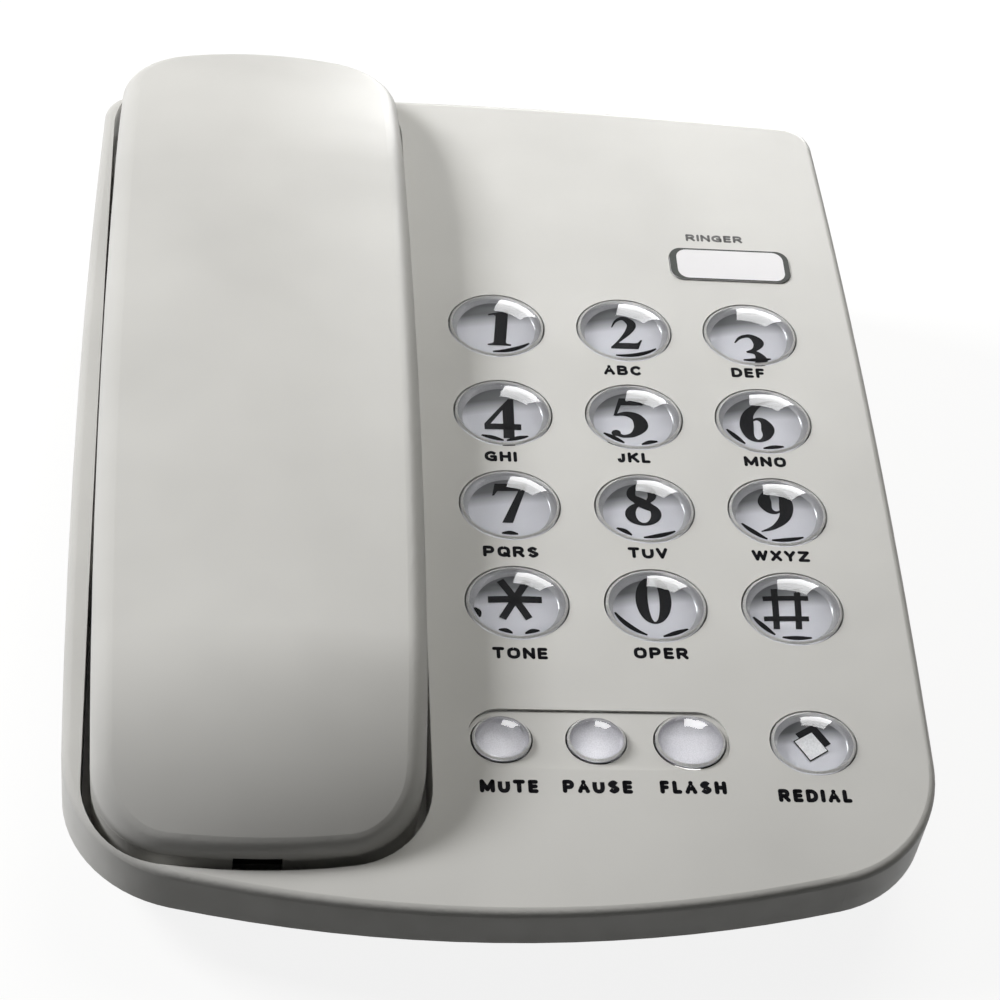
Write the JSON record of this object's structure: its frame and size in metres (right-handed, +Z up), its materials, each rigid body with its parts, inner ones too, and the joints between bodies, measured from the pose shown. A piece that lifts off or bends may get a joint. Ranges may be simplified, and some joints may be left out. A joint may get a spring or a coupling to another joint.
{
  "type": "corded telephone",
  "caption": "Corded desk telephone: wedge base with domed oval push keys and a handset lying in a long cradle on its left.",
  "frame": {"origin": "on the desk, under the middle of the whole telephone, handset included", "axes": "+X to the user's right, +Y away from the user to the rear, +Z up from the desk"},
  "size_m": [0.157, 0.1985, 0.0605],
  "materials": {
    "base_plastic": "satin moulded",
    "handset_plastic": "satin moulded",
    "underside_plastic": "fine grained",
    "clear_key": "clear polished",
    "lens": "translucent polished",
    "lamp": "translucent",
    "rubber": "matt",
    "silicone": "matt",
    "board": "coated laminate",
    "dark_plastic": "moulded",
    "screw_steel": "zinc plated",
    "spring_steel": "drawn wire",
    "ballast_steel": "mill finish"
  },
  "bodies": {
    "base": {"base_top_cover": "base_plastic", "base_bottom_cover": "underside_plastic", "base_feet": "rubber", "base_screws": "screw_steel", "main_board": "board", "board_screws": "screw_steel", "board_components": "dark_plastic", "keypad_mat": "silicone", "ringer_lens": "lens", "ringer_lamp": "lamp", "hook_spring": "spring_steel", "hook_switch": "dark_plastic", "line_board": "board", "sounder": "dark_plastic", "base_handset_jack": "dark_plastic", "line_jack": "dark_plastic", "tone_pulse_switch": "screw_steel", "ringer_volume_switch": "screw_steel", "ballast_plate": "ballast_steel", "wall_hook": "base_plastic"},
    "handset": {"handset_back_shell": "handset_plastic", "handset_front_shell": "handset_plastic", "earpiece_speaker": "dark_plastic", "earpiece_gasket": "rubber", "microphone": "screw_steel", "microphone_boot": "rubber", "handset_jack": "dark_plastic", "handset_weight": "ballast_steel", "handset_screws": "screw_steel"},
    "hook": {"hook_plunger": "base_plastic", "plunger_clip": "spring_steel"},
    "key_1_button": {"key_1": "clear_key"},
    "key_2_button": {"key_2": "clear_key"},
    "key_3_button": {"key_3": "clear_key"},
    "key_4_button": {"key_4": "clear_key"},
    "key_5_button": {"key_5": "clear_key"},
    "key_6_button": {"key_6": "clear_key"},
    "key_7_button": {"key_7": "clear_key"},
    "key_8_button": {"key_8": "clear_key"},
    "key_9_button": {"key_9": "clear_key"},
    "key_star_button": {"key_star": "clear_key"},
    "key_0_button": {"key_0": "clear_key"},
    "key_hash_button": {"key_hash": "clear_key"},
    "key_mute_button": {"key_mute": "clear_key"},
    "key_pause_button": {"key_pause": "clear_key"},
    "key_flash_button": {"key_flash": "clear_key"},
    "key_redial_button": {"key_redial": "clear_key"},
    "tone_pulse_slider": {"tone_pulse_knob": "dark_plastic"},
    "ringer_volume_slider": {"ringer_volume_knob": "dark_plastic"}
  },
  "joints": [
    {"name": "handset_lift", "type": "slide", "parent": "base", "child": "handset", "axis": [0, -0.1392, 0.9903], "range_m": [0, 0.08]},
    {"name": "hook_rise", "type": "slide", "parent": "base", "child": "hook", "axis": [0, 0, 1], "range_m": [0, 0.004], "deforming": ["hook_spring"]},
    {"name": "key_1_press", "type": "slide", "parent": "base", "child": "key_1_button", "axis": [0, 0.1392, -0.9903], "range_m": [0, 0.0015], "stiffness_N_per_m": 700, "springref_m": -0.0005, "deforming": ["keypad_mat"]},
    {"name": "key_2_press", "type": "slide", "parent": "base", "child": "key_2_button", "axis": [0, 0.1392, -0.9903], "range_m": [0, 0.0015], "stiffness_N_per_m": 700, "springref_m": -0.0005, "deforming": ["keypad_mat"]},
    {"name": "key_3_press", "type": "slide", "parent": "base", "child": "key_3_button", "axis": [0, 0.1392, -0.9903], "range_m": [0, 0.0015], "stiffness_N_per_m": 700, "springref_m": -0.0005, "deforming": ["keypad_mat"]},
    {"name": "key_4_press", "type": "slide", "parent": "base", "child": "key_4_button", "axis": [0, 0.1392, -0.9903], "range_m": [0, 0.0015], "stiffness_N_per_m": 700, "springref_m": -0.0005, "deforming": ["keypad_mat"]},
    {"name": "key_5_press", "type": "slide", "parent": "base", "child": "key_5_button", "axis": [0, 0.1392, -0.9903], "range_m": [0, 0.0015], "stiffness_N_per_m": 700, "springref_m": -0.0005, "deforming": ["keypad_mat"]},
    {"name": "key_6_press", "type": "slide", "parent": "base", "child": "key_6_button", "axis": [0, 0.1392, -0.9903], "range_m": [0, 0.0015], "stiffness_N_per_m": 700, "springref_m": -0.0005, "deforming": ["keypad_mat"]},
    {"name": "key_7_press", "type": "slide", "parent": "base", "child": "key_7_button", "axis": [0, 0.1392, -0.9903], "range_m": [0, 0.0015], "stiffness_N_per_m": 700, "springref_m": -0.0005, "deforming": ["keypad_mat"]},
    {"name": "key_8_press", "type": "slide", "parent": "base", "child": "key_8_button", "axis": [0, 0.1392, -0.9903], "range_m": [0, 0.0015], "stiffness_N_per_m": 700, "springref_m": -0.0005, "deforming": ["keypad_mat"]},
    {"name": "key_9_press", "type": "slide", "parent": "base", "child": "key_9_button", "axis": [0, 0.1392, -0.9903], "range_m": [0, 0.0015], "stiffness_N_per_m": 700, "springref_m": -0.0005, "deforming": ["keypad_mat"]},
    {"name": "key_star_press", "type": "slide", "parent": "base", "child": "key_star_button", "axis": [0, 0.1392, -0.9903], "range_m": [0, 0.0015], "stiffness_N_per_m": 700, "springref_m": -0.0005, "deforming": ["keypad_mat"]},
    {"name": "key_0_press", "type": "slide", "parent": "base", "child": "key_0_button", "axis": [0, 0.1392, -0.9903], "range_m": [0, 0.0015], "stiffness_N_per_m": 700, "springref_m": -0.0005, "deforming": ["keypad_mat"]},
    {"name": "key_hash_press", "type": "slide", "parent": "base", "child": "key_hash_button", "axis": [0, 0.1392, -0.9903], "range_m": [0, 0.0015], "stiffness_N_per_m": 700, "springref_m": -0.0005, "deforming": ["keypad_mat"]},
    {"name": "key_mute_press", "type": "slide", "parent": "base", "child": "key_mute_button", "axis": [0, 0.1392, -0.9903], "range_m": [0, 0.0015], "stiffness_N_per_m": 700, "springref_m": -0.0005, "deforming": ["keypad_mat"]},
    {"name": "key_pause_press", "type": "slide", "parent": "base", "child": "key_pause_button", "axis": [0, 0.1392, -0.9903], "range_m": [0, 0.0015], "stiffness_N_per_m": 700, "springref_m": -0.0005, "deforming": ["keypad_mat"]},
    {"name": "key_flash_press", "type": "slide", "parent": "base", "child": "key_flash_button", "axis": [0, 0.1392, -0.9903], "range_m": [0, 0.0015], "stiffness_N_per_m": 700, "springref_m": -0.0005, "deforming": ["keypad_mat"]},
    {"name": "key_redial_press", "type": "slide", "parent": "base", "child": "key_redial_button", "axis": [0, 0.1392, -0.9903], "range_m": [0, 0.0015], "stiffness_N_per_m": 700, "springref_m": -0.0005, "deforming": ["keypad_mat"]},
    {"name": "tone_pulse_slide", "type": "slide", "parent": "base", "child": "tone_pulse_slider", "axis": [1, 0, 0], "range_m": [0, 0.004]},
    {"name": "ringer_volume_slide", "type": "slide", "parent": "base", "child": "ringer_volume_slider", "axis": [1, 0, 0], "range_m": [0, 0.004]}
  ],
  "couplings": [
    {"joint": "hook_rise", "follows": "handset_lift", "ratio": 0.05}
  ]
}
